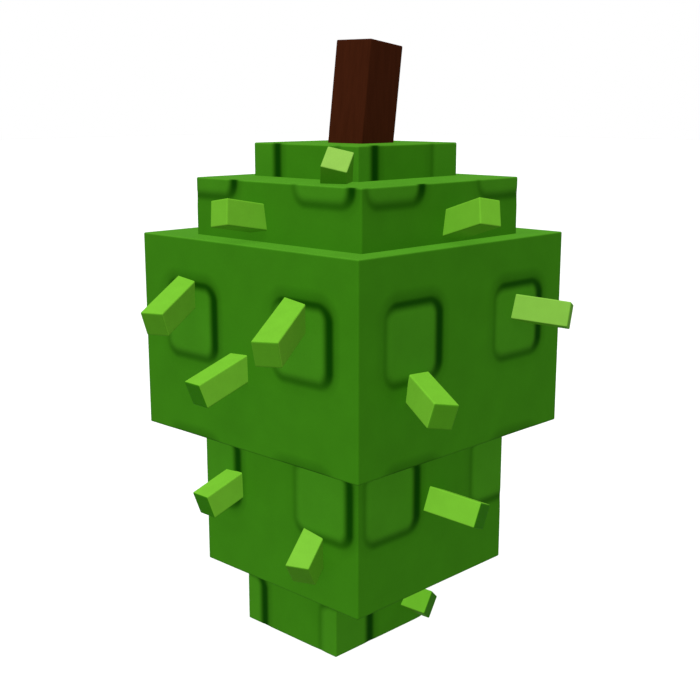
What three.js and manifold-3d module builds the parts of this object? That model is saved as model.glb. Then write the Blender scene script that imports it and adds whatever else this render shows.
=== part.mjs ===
// A soursop in a plain blocky style: five stacked square tiers with shallow rounded-square
// relief panels, short square spines on the walls and a square stem leaning back.
// Millimetres, +Z up. The origin is the middle of the foot's flat underside. The two walls
// that are seen best face -Y and +X.
import * as THREE from 'three';
import { mergeVertices } from 'three/addons/utils/BufferGeometryUtils.js';
import Module from 'manifold-3d';

const wasm = await Module();
wasm.setup();

// Tiers from the foot up: width of the square, underside, top and middle in plan.
const TIERS = {
  foot: { width: 52.5, low: 0, high: 28.5, x: 0, y: 0 },
  lower: { width: 86.5, low: 28.5, high: 85.4, x: 7.4, y: 3.9 },
  belly: { width: 120, low: 85.4, high: 164.5, x: 0.4, y: 10.5 },
  shoulder: { width: 90, low: 164.5, high: 187, x: 6.2, y: 6.7 },
  crown: { width: 57.6, low: 187, high: 200.1, x: -0.9, y: 13.1 },
};
// How far the smaller of two tiers runs into the larger one.
const TIER_OVERLAP = 2;
// Which tiers run into the one above and which into the one below.
const SUNK_TOP = ['foot', 'lower'];
const SUNK_UNDERSIDE = ['shoulder', 'crown'];

// Relief: one grid of rounded-square panels runs over all the walls, in line from tier to
// tier. Each panel is level with its wall and is set off by a shallow moat. The tops and
// undersides are plain.
const PANEL_SPACING = 62.3;
const PANEL_WIDTH = 28.8;
const PANEL_CORNER = 6;
const PANEL_MIDDLE = { x: 31.75, y: 41.25, z: 132.2 };
const MOAT_DEPTH = 0.2;
// Widths of the moat's two slopes, inside and outside the panel's edge.
const MOAT_INNER = 3.2;
const MOAT_OUTER = 5.5;
const MOAT_CORNER_STEPS = 4;
// The cutting ring stands this far proud of the wall, so that it opens the moat cleanly.
const CUTTER_PROUD = 0.1;

// Spines: square blocks. Along is measured from the middle of the wall towards its right,
// seen from outside. Swing turns the block to the right, droop turns it down and roll turns
// its upper side to the right, in degrees. Reach is the length outside the wall's plane. The
// crown's spine points up: it grows out of the shoulder's top and starts inside the shoulder.
const SPINE_WIDTH = 9.9;
const SPINE_SINK = 8;
const SPINES = [
  { tier: 'belly', wall: 'front', along: -33, height: 143.1, swing: 19, droop: 22, roll: -1, reach: 24.2 },
  { tier: 'belly', wall: 'front', along: 28.8, height: 141.7, swing: 26, droop: 18, roll: -1, reach: 28.3 },
  { tier: 'belly', wall: 'front', along: -2.3, height: 117.6, swing: -5.3, droop: 20.6, roll: -1.7, reach: 20.9 },
  { tier: 'belly', wall: 'right', along: 33.3, height: 136.2, swing: 25.6, droop: 5.4, roll: 15.7, reach: 19.4, farAlong: 18 },
  { tier: 'belly', wall: 'right', along: -29.1, height: 115.3, swing: -25, droop: 14, roll: 9.8, reach: 22.6 },
  { tier: 'shoulder', wall: 'front', along: -9.3, height: 173.2, swing: -3, droop: -10, roll: -9.3, reach: 17.8 },
  { tier: 'shoulder', wall: 'right', along: 4.5, height: 171, swing: -10, droop: -17, roll: 9.8, reach: 21.4 },
  { tier: 'crown', wall: 'front', along: 17.1, height: 177.1, swing: 46.8, droop: -43, roll: 17.5, reach: 27.6, sink: 0 },
  { tier: 'lower', wall: 'front', along: -25.6, height: 65.4, swing: -3, droop: 19.6, roll: -2.4, reach: 16.4, farAlong: -10 },
  { tier: 'lower', wall: 'front', along: 20, height: 50.4, swing: 19, droop: 32, roll: -2.3, reach: 12.8 },
  { tier: 'lower', wall: 'right', along: 0, height: 64.2, swing: 12, droop: 7, roll: 22, reach: 20.7 },
  { tier: 'foot', wall: 'right', along: 19.5, height: 10.6, swing: 18, droop: 9, roll: 35.5, reach: 8.7, farAlong: -10 },
];
// The two far walls carry the same spines as the walls opposite, each moved and turned a
// little by a seeded draw. A spine with farAlong stands at another place along its far wall.
const OPPOSITE = { front: 'back', right: 'left' };
const FAR_SEED = 41;
const FAR_SHIFT = 4;
const FAR_LIFT = 3;
const FAR_TURN = 5;

// Stem: a square block that leans back and stands in a plain socket in the crown's top.
const STEM_WIDTH = 18.6;
const STEM_HEIGHT = 38.8;
const STEM_SINK = 8;
const STEM_FOOT = { x: 3, y: 11.9 };
const STEM_LEAN_BACK = 6.9;
const STEM_LEAN_RIGHT = 0.6;
const STEM_GAP = 0.3;

// Each wall by its directions: across (to the right, seen from outside), up and out.
const WALLS = {
  front: { across: [1, 0, 0], up: [0, 0, 1], out: [0, -1, 0] },
  right: { across: [0, 1, 0], up: [0, 0, 1], out: [1, 0, 0] },
  back: { across: [-1, 0, 0], up: [0, 0, 1], out: [0, 1, 0] },
  left: { across: [0, -1, 0], up: [0, 0, 1], out: [-1, 0, 0] },
};

function toSolid(geometry) {
  const plain = new THREE.BufferGeometry();
  plain.setAttribute('position', geometry.getAttribute('position').clone());
  if (geometry.index) plain.setIndex(geometry.index.clone());
  const merged = mergeVertices(plain, 1e-5);
  const mesh = new wasm.Mesh({
    numProp: 3,
    vertProperties: new Float32Array(merged.getAttribute('position').array),
    triVerts: new Uint32Array(merged.index.array),
  });
  return new wasm.Manifold(mesh);
}

function toGeometry(solid) {
  const mesh = solid.getMesh();
  const geometry = new THREE.BufferGeometry();
  geometry.setAttribute('position', new THREE.BufferAttribute(new Float32Array(mesh.vertProperties), 3));
  geometry.setIndex(new THREE.BufferAttribute(new Uint32Array(mesh.triVerts), 1));
  const faceted = geometry.toNonIndexed();
  faceted.computeVertexNormals();
  return faceted;
}

function directions(wall) {
  const { across, up, out } = WALLS[wall];
  return {
    across: new THREE.Vector3(...across),
    up: new THREE.Vector3(...up),
    out: new THREE.Vector3(...out),
  };
}

// Seeded draw from -1 to 1.
function seededDraw(seed) {
  let state = seed >>> 0;
  return () => {
    state = (Math.imul(state, 1664525) + 1013904223) >>> 0;
    return (state / 4294967296) * 2 - 1;
  };
}

// Points round a rounded square that is set outward from the panel's edge by an offset.
function roundedSquare(offset) {
  const points = [];
  const straight = PANEL_WIDTH / 2 - PANEL_CORNER;
  const radius = PANEL_CORNER + offset;
  const corners = [[1, 1], [-1, 1], [-1, -1], [1, -1]];
  corners.forEach(([sideX, sideY], corner) => {
    for (let step = 0; step <= MOAT_CORNER_STEPS; step += 1) {
      const angle = (corner + step / MOAT_CORNER_STEPS) * Math.PI / 2;
      points.push([
        sideX * straight + radius * Math.cos(angle),
        sideY * straight + radius * Math.sin(angle),
      ]);
    }
  });
  return points;
}

// Ring with a triangular section: deepest at the panel's edge, with a gentle slope each side.
function moatCutter() {
  const widen = 1 + CUTTER_PROUD / MOAT_DEPTH;
  const section = [
    [MOAT_OUTER * widen, CUTTER_PROUD],
    [0, -MOAT_DEPTH],
    [-MOAT_INNER * widen, CUTTER_PROUD],
  ];
  const loops = section.map(([offset, level]) => (
    roundedSquare(offset).map(([a, b]) => [a, b, level])));
  const count = loops[0].length;
  const positions = loops.flat(2);
  const faces = [];
  for (let side = 0; side < 3; side += 1) {
    const next = (side + 1) % 3;
    for (let i = 0; i < count; i += 1) {
      const j = (i + 1) % count;
      faces.push(side * count + i, next * count + i, next * count + j);
      faces.push(side * count + i, next * count + j, side * count + j);
    }
  }
  const geometry = new THREE.BufferGeometry();
  geometry.setAttribute('position', new THREE.BufferAttribute(new Float32Array(positions), 3));
  geometry.setIndex(faces);
  return geometry;
}

// Grid positions whose moat touches the stretch from low to high.
function gridPositions(middle, low, high) {
  const margin = PANEL_WIDTH / 2 + MOAT_OUTER;
  const found = [];
  for (let step = -4; step <= 4; step += 1) {
    const place = middle + step * PANEL_SPACING;
    if (place + margin > low && place - margin < high) found.push(place);
  }
  return found;
}

const MOAT = moatCutter();

// All moats of one wall of a tier, placed on the grid.
function wallMoats(tier, wall) {
  const { across, up, out } = directions(wall);
  const half = tier.width / 2;
  const span = {
    x: [tier.x - half, tier.x + half],
    y: [tier.y - half, tier.y + half],
    z: [tier.low, tier.high],
  };
  const along = ['x', 'y', 'z'].filter((axis) => Math.abs(out[axis]) < 0.5);
  const normal = ['x', 'y', 'z'].find((axis) => Math.abs(out[axis]) > 0.5);
  const level = out[normal] > 0 ? span[normal][1] : span[normal][0];
  const moats = [];
  for (const first of gridPositions(PANEL_MIDDLE[along[0]], ...span[along[0]])) {
    for (const second of gridPositions(PANEL_MIDDLE[along[1]], ...span[along[1]])) {
      const place = new THREE.Vector3();
      place[along[0]] = first;
      place[along[1]] = second;
      place[normal] = level;
      const matrix = new THREE.Matrix4().makeBasis(across, up, out).setPosition(place);
      moats.push(toSolid(MOAT.clone().applyMatrix4(matrix)));
    }
  }
  return moats;
}

function tierSolid(name) {
  const tier = TIERS[name];
  const low = tier.low - (SUNK_UNDERSIDE.includes(name) ? TIER_OVERLAP : 0);
  const high = tier.high + (SUNK_TOP.includes(name) ? TIER_OVERLAP : 0);
  const box = new THREE.BoxGeometry(tier.width, tier.width, high - low);
  box.translate(tier.x, tier.y, (low + high) / 2);
  const moats = Object.keys(WALLS).flatMap((wall) => wallMoats(tier, wall));
  return moats.reduce((solid, moat) => solid.subtract(moat), toSolid(box));
}

// One spine: its far end is square to its own direction and its root is sunk in the wall.
function spineSolid(spine) {
  const tier = TIERS[spine.tier];
  const { across, up, out } = directions(spine.wall);
  const swing = THREE.MathUtils.degToRad(spine.swing);
  const droop = THREE.MathUtils.degToRad(spine.droop);
  const roll = THREE.MathUtils.degToRad(spine.roll);
  const ahead = new THREE.Vector3()
    .addScaledVector(out, Math.cos(droop) * Math.cos(swing))
    .addScaledVector(across, Math.cos(droop) * Math.sin(swing))
    .addScaledVector(up, -Math.sin(droop));
  const levelSide = new THREE.Vector3().crossVectors(up, ahead).normalize();
  const levelUp = new THREE.Vector3().crossVectors(ahead, levelSide);
  const side = levelSide.clone().multiplyScalar(Math.cos(roll)).addScaledVector(levelUp, -Math.sin(roll));
  const top = new THREE.Vector3().crossVectors(ahead, side);
  const sink = spine.sink ?? SPINE_SINK;
  const root = new THREE.Vector3(tier.x, tier.y, spine.height)
    .addScaledVector(out, tier.width / 2)
    .addScaledVector(across, spine.along);
  const box = new THREE.BoxGeometry(SPINE_WIDTH, SPINE_WIDTH, spine.reach + sink);
  box.translate(0, 0, (spine.reach - sink) / 2);
  box.applyMatrix4(new THREE.Matrix4().makeBasis(side, top, ahead).setPosition(root));
  return toSolid(box);
}

function farSpines() {
  const draw = seededDraw(FAR_SEED);
  return SPINES.map((spine) => ({
    ...spine,
    wall: OPPOSITE[spine.wall],
    along: (spine.farAlong ?? spine.along) + FAR_SHIFT * draw() * (spine.tier === 'foot' ? 0.5 : 1),
    height: spine.height + FAR_LIFT * draw() * (['foot', 'crown'].includes(spine.tier) ? 0 : 1),
    swing: spine.swing + FAR_TURN * draw(),
    droop: spine.droop + FAR_TURN * draw() * (spine.tier === 'foot' ? 0.4 : 1),
    roll: spine.roll + FAR_TURN * draw(),
  }));
}

// A square block along the stem's leaning axis, from below to above the crown's top.
function stemBlock(width, below, above) {
  const box = new THREE.BoxGeometry(width, width, below + above);
  box.translate(0, 0, (above - below) / 2);
  const lean = new THREE.Matrix4().makeRotationFromEuler(new THREE.Euler(
    -THREE.MathUtils.degToRad(STEM_LEAN_BACK), THREE.MathUtils.degToRad(STEM_LEAN_RIGHT), 0));
  box.applyMatrix4(lean);
  box.translate(STEM_FOOT.x, STEM_FOOT.y, TIERS.crown.high);
  return box;
}

function fruitSolid() {
  const tiers = Object.keys(TIERS).map(tierSolid);
  const spines = [...SPINES, ...farSpines()].map(spineSolid);
  const grown = [...tiers, ...spines].reduce((whole, piece) => whole.add(piece));
  const socket = stemBlock(STEM_WIDTH + 2 * STEM_GAP, STEM_SINK + STEM_GAP, 6);
  return grown.subtract(toSolid(socket));
}

const fruit = new THREE.Mesh(
  toGeometry(fruitSolid()),
  new THREE.MeshStandardMaterial({ color: 0x387813, roughness: 0.7 }),
);
fruit.name = 'fruit';

const stem = new THREE.Mesh(
  toGeometry(toSolid(stemBlock(STEM_WIDTH, STEM_SINK, STEM_HEIGHT))),
  new THREE.MeshStandardMaterial({ color: 0x421b0d, roughness: 0.8 }),
);
stem.name = 'stem';

const soursop = new THREE.Group();
soursop.name = 'soursop';
soursop.add(fruit, stem);

export default soursop;
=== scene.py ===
"""Looks of a blocky soursop: stacked square tiers with shallow rounded-square relief, square spines
and a square stem that leans back. Laid out as a Blender add-on and run as a script."""

import math

import bpy
import numpy as np
from bpy.props import FloatProperty, FloatVectorProperty, IntProperty, PointerProperty
from mathutils import Euler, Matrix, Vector


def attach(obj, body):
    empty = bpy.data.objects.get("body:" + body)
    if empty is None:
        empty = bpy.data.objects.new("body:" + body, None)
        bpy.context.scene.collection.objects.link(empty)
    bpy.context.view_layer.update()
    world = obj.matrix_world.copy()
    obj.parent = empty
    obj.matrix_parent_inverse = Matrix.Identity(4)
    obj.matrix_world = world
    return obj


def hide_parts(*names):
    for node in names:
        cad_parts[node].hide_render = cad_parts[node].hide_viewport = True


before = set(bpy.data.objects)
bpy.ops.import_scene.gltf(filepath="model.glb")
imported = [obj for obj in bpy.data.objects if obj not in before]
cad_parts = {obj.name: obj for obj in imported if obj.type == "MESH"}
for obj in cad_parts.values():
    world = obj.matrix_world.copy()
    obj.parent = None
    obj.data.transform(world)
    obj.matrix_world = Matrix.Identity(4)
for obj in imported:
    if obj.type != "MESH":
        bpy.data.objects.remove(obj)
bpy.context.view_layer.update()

bl_info = {
    "name": "Blocky soursop",
    "version": (1, 0, 0),
    "blender": (4, 5, 0),
    "location": "3D View > Sidebar > Soursop",
    "description": "Builds a blocky soursop with its relief, spines, stem and studio",
    "category": "Add Mesh",
}

# Tiers from the foot up, in metres: width, underside, top and middle in plan. The smaller of
# two tiers runs into the larger one by TIER_OVERLAP.
TIERS = {
    "foot": dict(width=0.0525, low=0, high=0.0285, x=0, y=0),
    "lower": dict(width=0.0865, low=0.0285, high=0.0854, x=0.0074, y=0.0039),
    "belly": dict(width=0.12, low=0.0854, high=0.1645, x=0.0004, y=0.0105),
    "shoulder": dict(width=0.09, low=0.1645, high=0.187, x=0.0062, y=0.0067),
    "crown": dict(width=0.0576, low=0.187, high=0.2001, x=-0.0009, y=0.0131),
}
TIER_OVERLAP = 0.002
SUNK_TOP = ("foot", "lower")
SUNK_UNDERSIDE = ("shoulder", "crown")

# Middle of one panel of the relief grid, which runs over all the walls.
PANEL_MIDDLE = np.array([0.03175, 0.04125, 0.1322])
PANELS_EACH_WAY = 4

# Lattice lines of a tier, in metres: the close ones by their place outside a panel's edge; the
# wide ones by their step, their margin at the tier's ends and their distance from close ones;
# and the gap that any line keeps from the rounds.
CLOSE_LINES = 0.001 * np.array([-5, -4, -3.2, -2.4, -1.6, -1, -0.5, 0, 0.5, 1, 1.6, 2.4, 3.2, 4, 5, 6, 7.5])
WIDE_STEP = 0.006
WIDE_MARGIN = 0.004
WIDE_CLEAR = 0.0025
ROUND_GAP = 0.0003

# Lines of a round: degrees from its end, and a last line past it, in radii from the end.
ROUND_DEGREES = (45, 30, 15, 0)
PAST_ROUND = 1.6
# Lines along each side of a spine or the stem between its rounds, both ends counted.
BLOCK_LINES = 5

# Distance over which the relief fades out, where the fade starts inside a wall's edge, the
# width over which a shade or a panel's colour sets in at a panel's edge, and a length that
# counts as none.
FADE_WIDTH = 0.006
FADE_START = 0.0015
EDGE_BLEND = 0.001
TINY = 1e-9

# Painted shade in the moat on each side of a panel: peak, place of the peak outside the
# panel's edge, half width of its flat top, width of its slopes inside and outside in metres,
# and strength of the skirt.
RIGHT_SHADE = (0.96, 0.0003, 0.0007, 0.0035, 0.0029, 0.5)
TOP_SHADE = (0.88, 0.0, 0.0002, 0.0033, 0.0026, 0.5)
BOTTOM_SHADE = (0.56, 0.0002, 0.0002, 0.0029, 0.0026, 0.4)
LEFT_SHADE = (0.26, 0.0002, 0.0001, 0.003, 0.0024, 0.3)

# Each wall by its directions: across (to the right, seen from outside), up and out.
WALLS = {
    "front": ((1, 0, 0), (0, 0, 1), (0, -1, 0)),
    "right": ((0, 1, 0), (0, 0, 1), (1, 0, 0)),
    "back": ((-1, 0, 0), (0, 0, 1), (0, 1, 0)),
    "left": ((0, -1, 0), (0, 0, 1), (-1, 0, 0)),
}

# Spines on the two near walls: tier, wall, place along the wall from its middle and height in
# metres, swing to the right, droop and roll in degrees, length outside the wall's plane, sunk
# length, place along the far wall, and the tones of the end, top and sides, from -1 (full
# painted light) to 1 (full painted shade). The crown's spine starts inside the shoulder and
# points up out of its top, so its length is the whole one.
SPINE_SINK = 0.008
# Painted shade on every spine's underside, on the scale of the tones.
UNDERSIDE_PAINTED_SHADE = 0.6
SPINES = (
    ("belly", "front", -0.033, 0.1431, 19, 22, -1, 0.0242, SPINE_SINK, -0.033, 0.5, 0, 0),
    ("belly", "front", 0.0288, 0.1417, 26, 18, -1, 0.0283, SPINE_SINK, 0.0288, 0.5, 0, 0),
    ("belly", "front", -0.0023, 0.1176, -5.3, 20.6, -1.7, 0.0209, SPINE_SINK, -0.0023, 1, 0, 0),
    ("belly", "right", 0.0333, 0.1362, 25.6, 5.4, 15.7, 0.0194, SPINE_SINK, 0.018, 0, -0.6, -0.6),
    ("belly", "right", -0.0291, 0.1153, -25, 14, 9.8, 0.0226, SPINE_SINK, -0.0291, 0.6, 0, 0),
    ("shoulder", "front", -0.0093, 0.1732, -3, -10, -9.3, 0.0178, SPINE_SINK, -0.0093, 0.1, 0, 0.05),
    ("shoulder", "right", 0.0045, 0.171, -10, -17, 9.8, 0.0214, SPINE_SINK, 0.0045, 0.05, 0, 0.05),
    ("crown", "front", 0.0171, 0.1771, 46.8, -43, 17.5, 0.0276, 0, 0.0171, -1, 0.5, 0.5),
    ("lower", "front", -0.0256, 0.0654, -3, 19.6, -2.4, 0.0164, SPINE_SINK, -0.01, 1, 0, 0),
    ("lower", "front", 0.02, 0.0504, 19, 32, -2.3, 0.0128, SPINE_SINK, 0.02, 0.55, -0.15, 0.5),
    ("lower", "right", 0, 0.0642, 12, 7, 22, 0.0207, SPINE_SINK, 0, 1, 0, 0),
    ("foot", "right", 0.0195, 0.0106, 18, 9, 35.5, 0.0087, SPINE_SINK, -0.01, 0.9, 0.3, 0.3),
)
# The two far walls carry the same spines as the walls opposite, moved and turned by a draw.
OPPOSITE = {"front": "back", "right": "left"}
# The foot's far spine shifts and droops less, by these shares, and it and the crown's far spine
# keep their height.
FAR_SHIFT = 0.004
FAR_LIFT = 0.003
FAR_TURN = 5
FOOT_SHIFT_SHARE = 0.5
FOOT_DROOP_SHARE = 0.4
# The draw: state = state * DRAW_FACTOR + DRAW_STEP, kept below DRAW_RANGE.
DRAW_FACTOR = 1664525
DRAW_STEP = 1013904223
DRAW_RANGE = 4294967296

# Specular level of the skin, the spines and the stem, which hardly shine in the photograph.
SHINE = 0.015

# Foot of the stem on the crown's top, and its lean in degrees.
STEM_FOOT = (0.003, 0.0119, 0.2001)
STEM_LEAN_BACK = 6.9
STEM_LEAN_RIGHT = 0.6

# Camera of the photograph: place in metres, azimuth and fall in degrees, lens and sensor in
# millimetres, nearest distance it sees, and half the width of the floor, in metres.
CAMERA_PLACE = (0.3202, -0.3217, 0.215)
CAMERA_AZIMUTH = 44.087
CAMERA_FALL = 12.17
CAMERA_LENS = 58.59
CAMERA_SENSOR = 36
CAMERA_NEAR = 0.01
FLOOR_HALF = 6

# Strength of the surroundings, and of the lights in watts on a square metre, with their spread
# in degrees. The key light and the four even lights cast no shadow; the soft light casts a
# faint one.
WORLD_LIGHT = 0.17
KEY_POWER = 4.5
SOFT_POWER = 0.5
EVEN_POWER = 0.98
PLAIN_SPREAD = 10
SOFT_SPREAD = 50
KEY_FROM = (0.28, -0.6, 1.06)
EVEN_FROM = ((1, 1, 1), (1, -1, -1), (-1, 1, -1), (-1, -1, 1))


class SoursopSizes(bpy.types.PropertyGroup):
    """Sizes that a user may change."""

    panel_spacing: FloatProperty(
        name="Panel spacing",
        description="Distance from the middle of one panel to the next",
        default=0.0623,
        unit="LENGTH",
    )
    panel_width: FloatProperty(
        name="Panel width", description="Width of a panel", default=0.0288, unit="LENGTH"
    )
    panel_corner: FloatProperty(
        name="Panel corner", description="Corner radius of a panel", default=0.006, unit="LENGTH"
    )
    moat_depth: FloatProperty(
        name="Moat depth", description="Depth at the panel's edge", default=0.0002, unit="LENGTH"
    )
    moat_inner: FloatProperty(
        name="Moat inner",
        description="Width of the slope inside a panel's edge",
        default=0.0032,
        unit="LENGTH",
    )
    moat_outer: FloatProperty(
        name="Moat outer",
        description="Width of the slope outside a panel's edge",
        default=0.0055,
        unit="LENGTH",
    )
    tier_edge: FloatProperty(
        name="Tier edge", description="Radius of the tiers' edges", default=0.0006, unit="LENGTH"
    )
    spine_width: FloatProperty(
        name="Spine width", description="Width of a square spine", default=0.0099, unit="LENGTH"
    )
    spine_edge: FloatProperty(
        name="Spine edge", description="Radius of the spines' edges", default=0.0005, unit="LENGTH"
    )
    stem_width: FloatProperty(
        name="Stem width", description="Width of the square stem", default=0.0186, unit="LENGTH"
    )
    stem_height: FloatProperty(
        name="Stem height", description="Length of stem above the crown", default=0.0388, unit="LENGTH"
    )
    stem_sink: FloatProperty(
        name="Stem sink", description="Length of stem inside the crown", default=0.008, unit="LENGTH"
    )
    stem_edge: FloatProperty(
        name="Stem edge", description="Radius of the stem's edges", default=0.0005, unit="LENGTH"
    )
    far_seed: IntProperty(
        name="Far seed", description="Seed of the draw that moves the far spines", default=41
    )


def from_hex(colour):
    """Linear red, green, blue, alpha of an sRGB hex colour: the sRGB curve taken off."""
    values = np.array([int(colour[i:i + 2], 16) for i in (1, 3, 5)]) / 255
    linear = np.where(values <= 0.04045, values / 12.92, ((values + 0.055) / 1.055) ** 2.4)
    return (*linear.tolist(), 1.0)


class SoursopColours(bpy.types.PropertyGroup):
    """Colours that a user may change."""

    skin: FloatVectorProperty(
        name="Skin",
        description="Green of the walls",
        default=from_hex("#2E670D"),
        subtype="COLOR",
        size=4,
    )
    skin_panel: FloatVectorProperty(
        name="Panel",
        description="Green of the panels",
        default=from_hex("#336D11"),
        subtype="COLOR",
        size=4,
    )
    # Dark green of the painted shade in the moats round the panels.
    skin_painted_moat_shade: FloatVectorProperty(
        name="Moat",
        description="Dark green in the moats",
        default=from_hex("#042E00"),
        subtype="COLOR",
        size=4,
    )
    spine: FloatVectorProperty(
        name="Spine",
        description="Light green of the spines",
        default=from_hex("#5A9424"),
        subtype="COLOR",
        size=4,
    )
    # Dark green of the painted shade on undersides and most ends.
    spine_painted_shade: FloatVectorProperty(
        name="Dark spine",
        description="Dark green of undersides and most ends",
        default=from_hex("#2A6A05"),
        subtype="COLOR",
        size=4,
    )
    # Pale green of the painted light on parts of some spines.
    spine_painted_light: FloatVectorProperty(
        name="Pale spine",
        description="Pale green on some spines",
        default=from_hex("#6F983E"),
        subtype="COLOR",
        size=4,
    )
    # Paler, yellower green of the painted light on the tiers' tops.
    skin_painted_top_light: FloatVectorProperty(
        name="Top",
        description="Green of the tiers' tops",
        default=from_hex("#3D7619"),
        subtype="COLOR",
        size=4,
    )
    stem: FloatVectorProperty(
        name="Stem",
        description="Dark brown of the stem",
        default=from_hex("#311408"),
        subtype="COLOR",
        size=4,
    )
    floor: FloatVectorProperty(
        name="Floor",
        description="Pale floor as seen",
        default=from_hex("#D0D0D0"),
        subtype="COLOR",
        size=4,
    )
    floor_bounce: FloatVectorProperty(
        name="Floor bounce",
        description="Floor as it lights the fruit",
        default=from_hex("#828282"),
        subtype="COLOR",
        size=4,
    )


def add_node(tree, kind, settings=None, inputs=None):
    """Adds a node with its settings; an input is a value, or a (node, output) pair to link."""
    node = tree.nodes.new(kind)
    for key, value in (settings or {}).items():
        setattr(node, key, value)
    for key, value in (inputs or {}).items():
        if isinstance(value, tuple) and len(value) == 2 and isinstance(value[0], bpy.types.Node):
            tree.links.new(value[0].outputs[value[1]], node.inputs[key])
        else:
            node.inputs[key].default_value = value
    return node


def new_material(name):
    """An empty node material with its output and Principled shader."""
    material = bpy.data.materials.new(name)
    material.use_nodes = True
    tree = material.node_tree
    tree.nodes.clear()
    shader = add_node(tree, "ShaderNodeBsdfPrincipled")
    add_node(tree, "ShaderNodeOutputMaterial", None, {"Surface": (shader, "BSDF")})
    return material, tree, shader


def smooth(values):
    """The smooth step 3t^2 - 2t^3 of values held between 0 and 1."""
    held = np.clip(values, 0, 1)
    return held * held * (3 - 2 * held)


def edge_lines(low, high, radius):
    """Lattice lines across a quarter round at each end: radius times the tangent of 0 to 45 degrees
    back from its centre, and one more line just past it that keeps the flat face flat."""
    turn = radius * np.tan(np.radians(ROUND_DEGREES))
    start = np.append(low + radius - turn, low + PAST_ROUND * radius)
    return start, (high + low - start)[::-1]


def tier_lines(low, high, middle, radius, sizes):
    """Lattice lines along one axis of a tier: close together where a panel's edge and moat run
    across, 6 mm apart elsewhere, with the rounds at both ends."""
    start, end = edge_lines(low, high, radius)
    steps = sizes.panel_width / 2 + CLOSE_LINES
    centres = middle + sizes.panel_spacing * np.arange(-PANELS_EACH_WAY, PANELS_EACH_WAY + 1)
    close = (centres[:, None] + np.concatenate([-steps, steps])).ravel()
    wide = np.arange(low + WIDE_MARGIN, high - WIDE_MARGIN, WIDE_STEP)
    wide = wide[np.abs(wide[:, None] - close).min(axis=1) > WIDE_CLEAR]
    inner = np.concatenate([close, wide])
    inner = inner[(inner > start[-1] + ROUND_GAP) & (inner < end[0] - ROUND_GAP)]
    return np.sort(np.concatenate([start, inner, end]))


def lattice_skin(lines):
    """Skin of a box lattice: the points with an outermost index on any of the three axes, and the
    quads between them, facing out."""
    shape = tuple(len(line) for line in lines)
    index = np.stack(np.indices(shape), axis=-1)
    skin = ((index == 0) | (index == np.array(shape) - 1)).any(axis=-1)
    number = np.full(shape, -1)
    number[skin] = np.arange(skin.sum())
    points = np.stack(np.meshgrid(*lines, indexing="ij"), axis=-1)[skin]
    quads = []
    for axis in range(3):
        for end in (0, -1):
            face = np.take(number, end, axis=axis)
            ring = (face[:-1, :-1], face[1:, :-1], face[1:, 1:], face[:-1, 1:])
            if (axis != 1) != (end == -1):
                ring = ring[::-1]
            quads.append(np.stack([corner.ravel() for corner in ring], axis=-1))
    return points, np.concatenate(quads)


def round_edges(points, low, high, radius):
    """Quarter rounds along a box's edges: each point moves to radius from the nearest point of the
    box drawn in by radius."""
    core = np.clip(points, low + radius, high - radius)
    away = points - core
    return core + away * (radius / np.linalg.norm(away, axis=1, keepdims=True))


def from_panel(values, middle, sizes):
    """Distance from the middle of the nearest panel along one axis."""
    spacing = sizes.panel_spacing
    return (values - middle + spacing / 2) % spacing - spacing / 2


def follow_panels(first, second, middle, sizes, fade):
    """Bends the square lattice round each panel onto rounded squares. A point on the square of
    half width reach keeps its place on the straight part and goes evenly round the corner's
    arc, whose radius grows with the distance from the panel's middle and fades away outside."""
    a = from_panel(first, middle[0], sizes)
    b = from_panel(second, middle[1], sizes)
    reach = np.maximum(np.abs(a), np.abs(b))
    other = np.minimum(np.abs(a), np.abs(b))
    offset = reach - sizes.panel_width / 2
    radius = np.clip(sizes.panel_corner + offset, 0, None)
    radius = radius * (1 - smooth((offset - FADE_WIDTH) / FADE_WIDTH))
    past = np.clip(other - (reach - radius), 0, None)
    turn = past / np.maximum(radius, TINY) * math.pi / 4
    new_reach = reach - radius * (1 - np.cos(turn))
    new_other = np.where(past > 0, reach - radius + radius * np.sin(turn), other)
    wide = np.abs(a) >= np.abs(b)
    moved_a = np.sign(a) * np.where(wide, new_reach, new_other)
    moved_b = np.sign(b) * np.where(wide, new_other, new_reach)
    return first + (moved_a - a) * fade, second + (moved_b - b) * fade


def panel_edge(first, second, middle, sizes):
    """Signed distance to the nearest panel's rounded outline, positive outside, and the
    direction away from it along both axes."""
    a = from_panel(first, middle[0], sizes)
    b = from_panel(second, middle[1], sizes)
    straight = sizes.panel_width / 2 - sizes.panel_corner
    past = np.stack([np.abs(a), np.abs(b)], axis=-1) - straight
    outside = np.clip(past, 0, None)
    length = np.linalg.norm(outside, axis=-1)
    distance = length + np.minimum(past.max(axis=-1), 0) - sizes.panel_corner
    inner = np.stack([past[:, 0] >= past[:, 1], past[:, 0] < past[:, 1]], axis=-1).astype(float)
    away = np.where(length[:, None] > TINY, outside / np.maximum(length, TINY)[:, None], inner)
    return distance, away * np.stack([np.sign(a), np.sign(b)], axis=-1)


def moat_profile(distance, sizes):
    """Depth of the moat as a share of its full depth: deepest at the panel's edge, with a smooth
    slope on each side."""
    slope = np.where(distance < 0, distance / sizes.moat_inner, distance / sizes.moat_outer)
    return smooth(1 - np.abs(slope))


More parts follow.
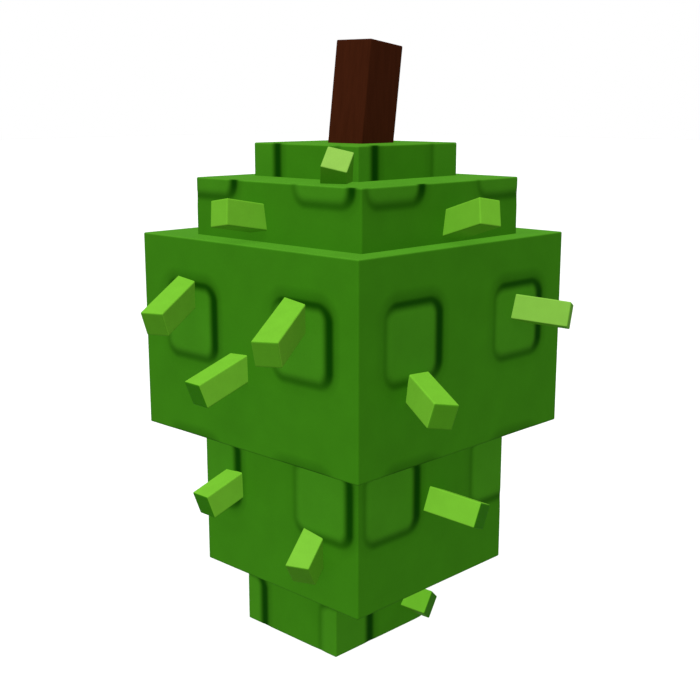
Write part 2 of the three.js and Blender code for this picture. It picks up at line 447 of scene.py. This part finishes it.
def painted_moat_shade(distance, away_across, away_up):
    """Painted shade in the moat: per side a soft band of painted shade beside the panel's edge,
    with its own slopes inside and outside and a faint skirt that ends 6 mm out. The sides are
    the panel's right, top, bottom and left, blended round the corners by the squared direction."""
    shade = np.zeros_like(distance)
    sides = (
        (np.clip(away_across, 0, None), RIGHT_SHADE),
        (np.clip(away_up, 0, None), TOP_SHADE),
        (np.clip(-away_up, 0, None), BOTTOM_SHADE),
        (np.clip(-away_across, 0, None), LEFT_SHADE),
    )
    for share, (peak, centre, flat, inner, outer, skirt) in sides:
        past = distance - centre
        band = smooth(1 - (np.abs(past) - flat) / np.where(past < 0, inner, outer))
        tail = skirt * np.clip(1 - distance / FADE_WIDTH, 0, 1) * smooth(distance / EDGE_BLEND)
        shade += share ** 2 * peak * np.maximum(band, tail)
    return shade


def tier_surface(name, sizes):
    """Skin of one tier: a box lattice with rounded edges, lowered along each wall by the moats of
    the panel grid. A moat that runs off a wall draws the edge in with it, and its pull on the
    next face dies out over 6 mm. Returns points, quads, painted moat shade, panel and painted
    top light."""
    tier = TIERS[name]
    half = tier["width"] / 2
    low = np.array([tier["x"] - half, tier["y"] - half, tier["low"]], float)
    high = np.array([tier["x"] + half, tier["y"] + half, tier["high"]], float)
    low[2] -= TIER_OVERLAP if name in SUNK_UNDERSIDE else 0
    high[2] += TIER_OVERLAP if name in SUNK_TOP else 0
    radius = sizes.tier_edge
    lines = [tier_lines(low[i], high[i], PANEL_MIDDLE[i], radius, sizes) for i in range(3)]
    points, quads = lattice_skin(lines)
    for wall in WALLS:
        axis, level = face_plane(wall, low, high)
        plane = [i for i in range(3) if i != axis]
        on_face = np.abs(points[:, axis] - level) < TINY
        flat = points[on_face][:, plane]
        margin = np.minimum(flat - low[plane], high[plane] - flat).min(axis=1)
        fade = smooth((margin - FADE_START) / FADE_WIDTH)
        bent = follow_panels(flat[:, 0], flat[:, 1], PANEL_MIDDLE[plane], sizes, fade)
        points[np.ix_(np.flatnonzero(on_face), plane)] = np.stack(bent, axis=-1)
    rounded = round_edges(points, low, high, radius)
    shade = np.zeros(len(points))
    panel = np.zeros(len(points))
    lowered = rounded.copy()
    for wall in WALLS:
        across, up, out = (np.array(direction, float) for direction in WALLS[wall])
        axis, level = face_plane(wall, low, high)
        plane = [i for i in range(3) if i != axis]
        distance, away = panel_edge(points[:, plane[0]], points[:, plane[1]], PANEL_MIDDLE[plane], sizes)
        depth_from_face = np.abs(points[:, axis] - level)
        pull = np.clip(1 - depth_from_face / FADE_WIDTH, 0, 1)
        lowered -= out * (sizes.moat_depth * moat_profile(distance, sizes) * pull)[:, None]
        near = np.clip(1 - depth_from_face / (2 * radius), 0, 1)
        direction = np.zeros_like(points)
        direction[:, plane] = away
        # Painted shade in the moats, darkest beside the panels' right and top edges.
        shade = np.maximum(shade, near * painted_moat_shade(distance, direction @ across, direction @ up))
        panel = np.maximum(panel, near * smooth(-distance / EDGE_BLEND))
    # Painted light on each tier's top face and its round.
    top = np.clip(1 - (high[2] - points[:, 2]) / radius, 0, 1)
    return lowered, quads, shade, panel, top


def face_plane(wall, low, high):
    """Axis number of a face's outward direction, and its level on that axis."""
    out = WALLS[wall][2]
    axis = int(np.flatnonzero(out)[0])
    return axis, (high if out[axis] > 0 else low)[axis]


def rounded_block(width, below, above, radius):
    """Skin of a square block along +Z from -below to above, with quarter rounds on its edges."""
    low = np.array([-width / 2, -width / 2, -below])
    high = np.array([width / 2, width / 2, above])
    lines = []
    for i in range(3):
        start, end = edge_lines(low[i], high[i], radius)
        between = np.linspace(start[-1], end[0], BLOCK_LINES)[1:-1]
        lines.append(np.concatenate([start, between, end]))
    points, quads = lattice_skin(lines)
    return round_edges(points, low, high, radius), quads


def place_points(points, across, top, ahead, origin):
    """Points turned so that X, Y and Z run across, top and ahead, then moved to origin."""
    return points @ np.stack([across, top, ahead]) + origin


def seeded_draws(seed, count):
    """Draws from -1 to 1: state = state * factor + step, kept to 32 bits."""
    state = seed
    draws = []
    for _ in range(count):
        state = (state * DRAW_FACTOR + DRAW_STEP) % DRAW_RANGE
        draws.append(state / DRAW_RANGE * 2 - 1)
    return draws


def far_spines(seed):
    """The near walls' spines carried to the walls opposite, each moved and turned by the draw."""
    draws = iter(seeded_draws(seed, 5 * len(SPINES)))
    found = []
    for tier, wall, _, height, swing, droop, roll, reach, sink, along, *painted_tones in SPINES:
        along += FAR_SHIFT * next(draws) * (FOOT_SHIFT_SHARE if tier == "foot" else 1)
        height += FAR_LIFT * next(draws) * (0 if tier in ("foot", "crown") else 1)
        swing += FAR_TURN * next(draws)
        droop += FAR_TURN * next(draws) * (FOOT_DROOP_SHARE if tier == "foot" else 1)
        roll += FAR_TURN * next(draws)
        moved = (along, height, swing, droop, roll, reach, sink, along, *painted_tones)
        found.append((tier, OPPOSITE[wall]) + moved)
    return tuple(found)


def spine_surface(spine, sizes):
    """Skin of one spine: a rounded block whose axis starts on its wall and is turned by swing,
    droop and roll. Returns points, quads and the tone of painted light and shade."""
    tier_name, wall, along, height, swing, droop, roll, reach, sink, _, end, top, sides = spine
    tier = TIERS[tier_name]
    across, up, out = (np.array(direction, float) for direction in WALLS[wall])
    swing, droop, roll = np.radians([swing, droop, roll])
    ahead = math.cos(droop) * (math.cos(swing) * out + math.sin(swing) * across) - math.sin(droop) * up
    level_side = np.cross(up, ahead)
    level_side /= np.linalg.norm(level_side)
    side = math.cos(roll) * level_side - math.sin(roll) * np.cross(ahead, level_side)
    root = np.array([tier["x"], tier["y"], height]) + out * tier["width"] / 2 + across * along
    points, quads = rounded_block(sizes.spine_width, sink, reach, sizes.spine_edge)
    near_face = (sizes.spine_width - sizes.spine_edge) / 2
    # Painted light and shade per face: below 0 painted light, above 0 painted shade.
    painted_light_and_shade = np.where(points[:, 1] > near_face, top, sides)
    painted_light_and_shade = np.where(points[:, 1] < -near_face, UNDERSIDE_PAINTED_SHADE, painted_light_and_shade)
    painted_light_and_shade = np.where(points[:, 2] > reach - 0.5 * sizes.spine_edge, end, painted_light_and_shade)
    return place_points(points, side, np.cross(ahead, side), ahead, root), quads, painted_light_and_shade


def join_surfaces(surfaces):
    """One point array and one quad array from several skins."""
    starts = np.cumsum([0] + [len(points) for points, _ in surfaces])
    points = np.concatenate([points for points, _ in surfaces])
    quads = np.concatenate([quads + start for (_, quads), start in zip(surfaces, starts)])
    return points, quads


def add_piece(name, points, quads, material, node, attributes=None):
    """Puts a surface into the scene as a piece that stands for a node and rides on the root."""
    mesh = bpy.data.meshes.new(name)
    mesh.from_pydata(points.tolist(), [], quads.tolist())
    mesh.polygons.foreach_set("use_smooth", np.ones(len(quads), bool))
    for key, values in (attributes or {}).items():
        layer = mesh.attributes.new(key, "FLOAT", "POINT")
        layer.data.foreach_set("value", values.astype(np.float32))
    mesh.materials.append(material)
    mesh.update()
    piece = bpy.data.objects.new(name, mesh)
    bpy.context.scene.collection.objects.link(piece)
    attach(piece, "root")
    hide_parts(node)


def skin_material(colours):
    """Waxy green soursop skin, smooth and slightly leathery. To the eye it is a deep even green,
    nearly matt, with faint cloudy mottling 12 mm across, pores that hardly show, painted shade in
    the moats round slightly paler panels, and painted light on the tops, which are paler and
    yellower."""
    material, tree, shader = new_material("waxy_soursop_skin")
    place = add_node(tree, "ShaderNodeTexCoord")
    shade = add_node(tree, "ShaderNodeAttribute", {"attribute_name": "painted_moat_shade"})
    panel = add_node(tree, "ShaderNodeAttribute", {"attribute_name": "panel_inside"})
    top = add_node(tree, "ShaderNodeAttribute", {"attribute_name": "painted_top_light"})
    # Clouds 12 mm across: 80 to a metre
    cloud = add_node(
        tree, "ShaderNodeTexNoise", None, {"Vector": (place, "Object"), "Scale": 80.0, "Detail": 3.0}
    )
    # Pores are 0.4 mm on the real skin, drawn 1.2 mm across so that they show
    pore = add_node(
        tree, "ShaderNodeTexNoise", None, {"Vector": (place, "Object"), "Scale": 830.0, "Detail": 2.0}
    )
    level = add_node(
        tree,
        "ShaderNodeMix",
        {"data_type": "RGBA"},
        {0: (panel, "Fac"), 6: colours.skin, 7: colours.skin_panel},
    )
    # Painted light: the tops mixed towards a paler, yellower green.
    painted_top_lit = add_node(
        tree, "ShaderNodeMix", {"data_type": "RGBA"}, {0: (top, "Fac"), 6: (level, 2), 7: colours.skin_painted_top_light}
    )
    value = add_node(
        tree,
        "ShaderNodeMapRange",
        None,
        {"Value": (cloud, "Fac"), "From Min": 0.3, "From Max": 0.7, "To Min": 0.96, "To Max": 1.04},
    )
    mottled = add_node(
        tree, "ShaderNodeHueSaturation", None, {"Color": (painted_top_lit, 2), "Value": (value, "Result")}
    )
    # Painted shade: the moats mixed towards dark green.
    final = add_node(
        tree,
        "ShaderNodeMix",
        {"data_type": "RGBA"},
        {0: (shade, "Fac"), 6: (mottled, "Color"), 7: colours.skin_painted_moat_shade},
    )
    gloss = add_node(
        tree,
        "ShaderNodeMapRange",
        None,
        {"Value": (pore, "Fac"), "From Min": 0.3, "From Max": 0.7, "To Min": 0.55, "To Max": 0.68},
    )
    bump = add_node(
        tree, "ShaderNodeBump", None, {"Height": (pore, "Fac"), "Strength": 0.12, "Distance": 0.0002}
    )
    shader.inputs["Specular IOR Level"].default_value = SHINE
    tree.links.new(final.outputs[2], shader.inputs["Base Color"])
    tree.links.new(gloss.outputs["Result"], shader.inputs["Roughness"])
    tree.links.new(bump.outputs["Normal"], shader.inputs["Normal"])
    return material


def spine_material(colours):
    """Soft fleshy spines, a young light green. To the eye they are smooth and nearly matt, with
    faint clouds 5 mm across. Undersides, most ends and a few tops and sides carry painted shade,
    and on each pair of walls two spines carry painted light on parts of them."""
    material, tree, shader = new_material("fleshy_green_spine")
    place = add_node(tree, "ShaderNodeTexCoord")
    painted_shade = add_node(tree, "ShaderNodeAttribute", {"attribute_name": "painted_spine_shade"})
    painted_light = add_node(tree, "ShaderNodeAttribute", {"attribute_name": "painted_spine_light"})
    # Painted light on parts of some spines.
    with_painted_light = add_node(
        tree,
        "ShaderNodeMix",
        {"data_type": "RGBA"},
        {0: (painted_light, "Fac"), 6: colours.spine, 7: colours.spine_painted_light},
    )
    # Painted shade on undersides, most ends and some tops and sides.
    level = add_node(
        tree,
        "ShaderNodeMix",
        {"data_type": "RGBA"},
        {0: (painted_shade, "Fac"), 6: (with_painted_light, 2), 7: colours.spine_painted_shade},
    )
    # Clouds 5 mm across: 200 to a metre
    cloud = add_node(
        tree, "ShaderNodeTexNoise", None, {"Vector": (place, "Object"), "Scale": 200.0, "Detail": 3.0}
    )
    pore = add_node(
        tree, "ShaderNodeTexNoise", None, {"Vector": (place, "Object"), "Scale": 1000.0, "Detail": 2.0}
    )
    value = add_node(
        tree,
        "ShaderNodeMapRange",
        None,
        {"Value": (cloud, "Fac"), "From Min": 0.3, "From Max": 0.7, "To Min": 0.97, "To Max": 1.03},
    )
    mottled = add_node(
        tree, "ShaderNodeHueSaturation", None, {"Color": (level, 2), "Value": (value, "Result")}
    )
    gloss = add_node(
        tree,
        "ShaderNodeMapRange",
        None,
        {"Value": (pore, "Fac"), "From Min": 0.3, "From Max": 0.7, "To Min": 0.5, "To Max": 0.6},
    )
    bump = add_node(
        tree, "ShaderNodeBump", None, {"Height": (pore, "Fac"), "Strength": 0.1, "Distance": 0.00015}
    )
    shader.inputs["Specular IOR Level"].default_value = SHINE
    tree.links.new(mottled.outputs["Color"], shader.inputs["Base Color"])
    tree.links.new(gloss.outputs["Result"], shader.inputs["Roughness"])
    tree.links.new(bump.outputs["Normal"], shader.inputs["Normal"])
    return material


def stem_material(colours):
    """Dry woody stem, dark red-brown and nearly matt. To the eye it has fine lengthwise fibres
    about 1.5 mm wide, a shade lighter and darker than the wood."""
    material, tree, shader = new_material("dry_woody_stem")
    place = add_node(tree, "ShaderNodeTexCoord")
    # Fibres 1.5 mm across and 15 mm long, leaning with the stem
    along = add_node(
        tree,
        "ShaderNodeMapping",
        None,
        {
            "Vector": (place, "Object"),
            "Rotation": Vector((math.radians(STEM_LEAN_BACK), 0, 0)),
            "Scale": Vector((660, 660, 66)),
        },
    )
    fibre = add_node(
        tree, "ShaderNodeTexNoise", None, {"Vector": (along, "Vector"), "Scale": 1.0, "Detail": 3.0}
    )
    value = add_node(
        tree,
        "ShaderNodeMapRange",
        None,
        {"Value": (fibre, "Fac"), "From Min": 0.3, "From Max": 0.7, "To Min": 0.9, "To Max": 1.1},
    )
    grained = add_node(
        tree, "ShaderNodeHueSaturation", None, {"Color": colours.stem, "Value": (value, "Result")}
    )
    bump = add_node(
        tree, "ShaderNodeBump", None, {"Height": (fibre, "Fac"), "Strength": 0.2, "Distance": 0.0003}
    )
    tree.links.new(grained.outputs["Color"], shader.inputs["Base Color"])
    tree.links.new(bump.outputs["Normal"], shader.inputs["Normal"])
    shader.inputs["Roughness"].default_value = 0.75
    shader.inputs["Specular IOR Level"].default_value = SHINE
    return material


class BuildTiers(bpy.types.Operator):
    """Builds the five tiers with their relief"""

    bl_idname = "soursop.build_tiers"
    bl_label = "Build tiers"

    def execute(self, context):
        scene = context.scene
        sizes = scene.soursop_sizes
        surfaces = [tier_surface(name, sizes) for name in TIERS]
        points, quads = join_surfaces([surface[:2] for surface in surfaces])
        attributes = {
            "painted_moat_shade": np.concatenate([surface[2] for surface in surfaces]),
            "panel_inside": np.concatenate([surface[3] for surface in surfaces]),
            "painted_top_light": np.concatenate([surface[4] for surface in surfaces]),
        }
        material = skin_material(scene.soursop_colours)
        add_piece("fruit_tiers", points, quads, material, "fruit", attributes)
        return {"FINISHED"}


class BuildSpines(bpy.types.Operator):
    """Builds the spines on the near and far walls"""

    bl_idname = "soursop.build_spines"
    bl_label = "Build spines"

    def execute(self, context):
        scene = context.scene
        sizes = scene.soursop_sizes
        spines = SPINES + far_spines(sizes.far_seed)
        surfaces = [spine_surface(spine, sizes) for spine in spines]
        points, quads = join_surfaces([surface[:2] for surface in surfaces])
        painted_light_and_shade = np.concatenate([surface[2] for surface in surfaces])
        # Painted shade and painted light of the spines, as two attributes.
        attributes = {"painted_spine_shade": np.clip(painted_light_and_shade, 0, 1), "painted_spine_light": np.clip(-painted_light_and_shade, 0, 1)}
        material = spine_material(scene.soursop_colours)
        add_piece("fruit_spines", points, quads, material, "fruit", attributes)
        return {"FINISHED"}


class BuildStem(bpy.types.Operator):
    """Builds the leaning stem"""

    bl_idname = "soursop.build_stem"
    bl_label = "Build stem"

    def execute(self, context):
        scene = context.scene
        sizes = scene.soursop_sizes
        points, quads = rounded_block(sizes.stem_width, sizes.stem_sink, sizes.stem_height, sizes.stem_edge)
        turn = Euler((math.radians(-STEM_LEAN_BACK), math.radians(STEM_LEAN_RIGHT), 0)).to_matrix()
        points = points @ np.array(turn).T + np.array(STEM_FOOT)
        material = stem_material(scene.soursop_colours)
        add_piece("fruit_stem", points, quads, material, "stem")
        return {"FINISHED"}


def add_light(name, strength, spread, shadow, direction):
    """A distant light that comes from a direction. Without a shadow it is even fill, and leaves
    no shine either."""
    light = bpy.data.lights.new(name, "SUN")
    light.energy = strength
    light.angle = math.radians(spread)
    light.use_shadow = shadow
    lamp = bpy.data.objects.new(name, light)
    lamp.visible_glossy = shadow
    lamp.rotation_euler = Vector(direction).to_track_quat("Z", "Y").to_euler()
    bpy.context.scene.collection.objects.link(lamp)


def floor_material(colours):
    """Pale matt studio floor. To the eye it is plain white; it throws less light back up than it
    shows to the camera, so that the undersides stay dark."""
    material, tree, shown = new_material("pale_matt_floor")
    shown.inputs["Base Color"].default_value = colours.floor
    bounced = add_node(tree, "ShaderNodeBsdfPrincipled", None, {"Base Color": colours.floor_bounce})
    for shader in (shown, bounced):
        shader.inputs["Roughness"].default_value = 0.9
        shader.inputs["Specular IOR Level"].default_value = 0.0
    ray = add_node(tree, "ShaderNodeLightPath")
    both = add_node(
        tree, "ShaderNodeMixShader", None, {0: (ray, "Is Camera Ray"), 1: (bounced, 0), 2: (shown, 0)}
    )
    output = next(node for node in tree.nodes if node.type == "OUTPUT_MATERIAL")
    tree.links.new(both.outputs[0], output.inputs["Surface"])
    return material


class BuildStage(bpy.types.Operator):
    """Builds the floor, the lights, the surroundings and the camera"""

    bl_idname = "soursop.build_stage"
    bl_label = "Build stage"

    def execute(self, context):
        scene = context.scene
        mesh = bpy.data.meshes.new("floor")
        signs = ((-1, -1), (1, -1), (1, 1), (-1, 1))
        corners = [(x * FLOOR_HALF, y * FLOOR_HALF, 0) for x, y in signs]
        mesh.from_pydata(corners, [], [(0, 1, 2, 3)])
        mesh.materials.append(floor_material(scene.soursop_colours))
        floor = bpy.data.objects.new("floor", mesh)
        scene.collection.objects.link(floor)

        world = bpy.data.worlds.new("soft_surroundings")
        world.use_nodes = True
        tree = world.node_tree
        tree.nodes.clear()
        seen = add_node(
            tree, "ShaderNodeBackground", None, {"Color": (1, 1, 1, 1), "Strength": 1.0}
        )
        given = add_node(
            tree, "ShaderNodeBackground", None, {"Color": (1, 1, 1, 1), "Strength": WORLD_LIGHT}
        )
        ray = add_node(tree, "ShaderNodeLightPath")
        both = add_node(
            tree, "ShaderNodeMixShader", None, {0: (ray, "Is Camera Ray"), 1: (given, 0), 2: (seen, 0)}
        )
        add_node(tree, "ShaderNodeOutputWorld", None, {"Surface": (both, 0)})
        scene.world = world

        add_light("key_light", KEY_POWER, PLAIN_SPREAD, False, KEY_FROM)
        add_light("soft_light", SOFT_POWER, SOFT_SPREAD, True, KEY_FROM)
        for number, direction in enumerate(EVEN_FROM):
            add_light(f"even_light_{number + 1}", EVEN_POWER, PLAIN_SPREAD, False, direction)

        camera = bpy.data.cameras.new("camera")
        camera.lens = CAMERA_LENS
        camera.sensor_width = CAMERA_SENSOR
        camera.clip_start = CAMERA_NEAR
        viewer = bpy.data.objects.new("camera", camera)
        viewer.location = CAMERA_PLACE
        viewer.rotation_euler = (math.radians(90 - CAMERA_FALL), 0, math.radians(CAMERA_AZIMUTH))
        scene.collection.objects.link(viewer)
        scene.camera = viewer
        scene.view_settings.view_transform = "Standard"
        return {"FINISHED"}


class SoursopPanel(bpy.types.Panel):
    """Lists the pieces of the soursop and their settings"""

    bl_idname = "VIEW3D_PT_soursop"
    bl_label = "Soursop"
    bl_space_type = "VIEW_3D"
    bl_region_type = "UI"
    bl_category = "Soursop"

    def draw(self, context):
        layout = self.layout
        for operator in OPERATORS:
            layout.operator(operator.bl_idname)
        for group in (context.scene.soursop_sizes, context.scene.soursop_colours):
            for name in group.__annotations__:
                layout.prop(group, name)


OPERATORS = (BuildTiers, BuildSpines, BuildStem, BuildStage)
CLASSES = (SoursopSizes, SoursopColours) + OPERATORS + (SoursopPanel,)


def register():
    for entry in CLASSES:
        bpy.utils.register_class(entry)
    bpy.types.Scene.soursop_sizes = PointerProperty(type=SoursopSizes)
    bpy.types.Scene.soursop_colours = PointerProperty(type=SoursopColours)


def unregister():
    del bpy.types.Scene.soursop_colours
    del bpy.types.Scene.soursop_sizes
    for entry in reversed(CLASSES):
        bpy.utils.unregister_class(entry)


def main():
    register()
    bpy.ops.soursop.build_tiers()
    bpy.ops.soursop.build_spines()
    bpy.ops.soursop.build_stem()
    bpy.ops.soursop.build_stage()


if __name__ == "__main__":
    main()
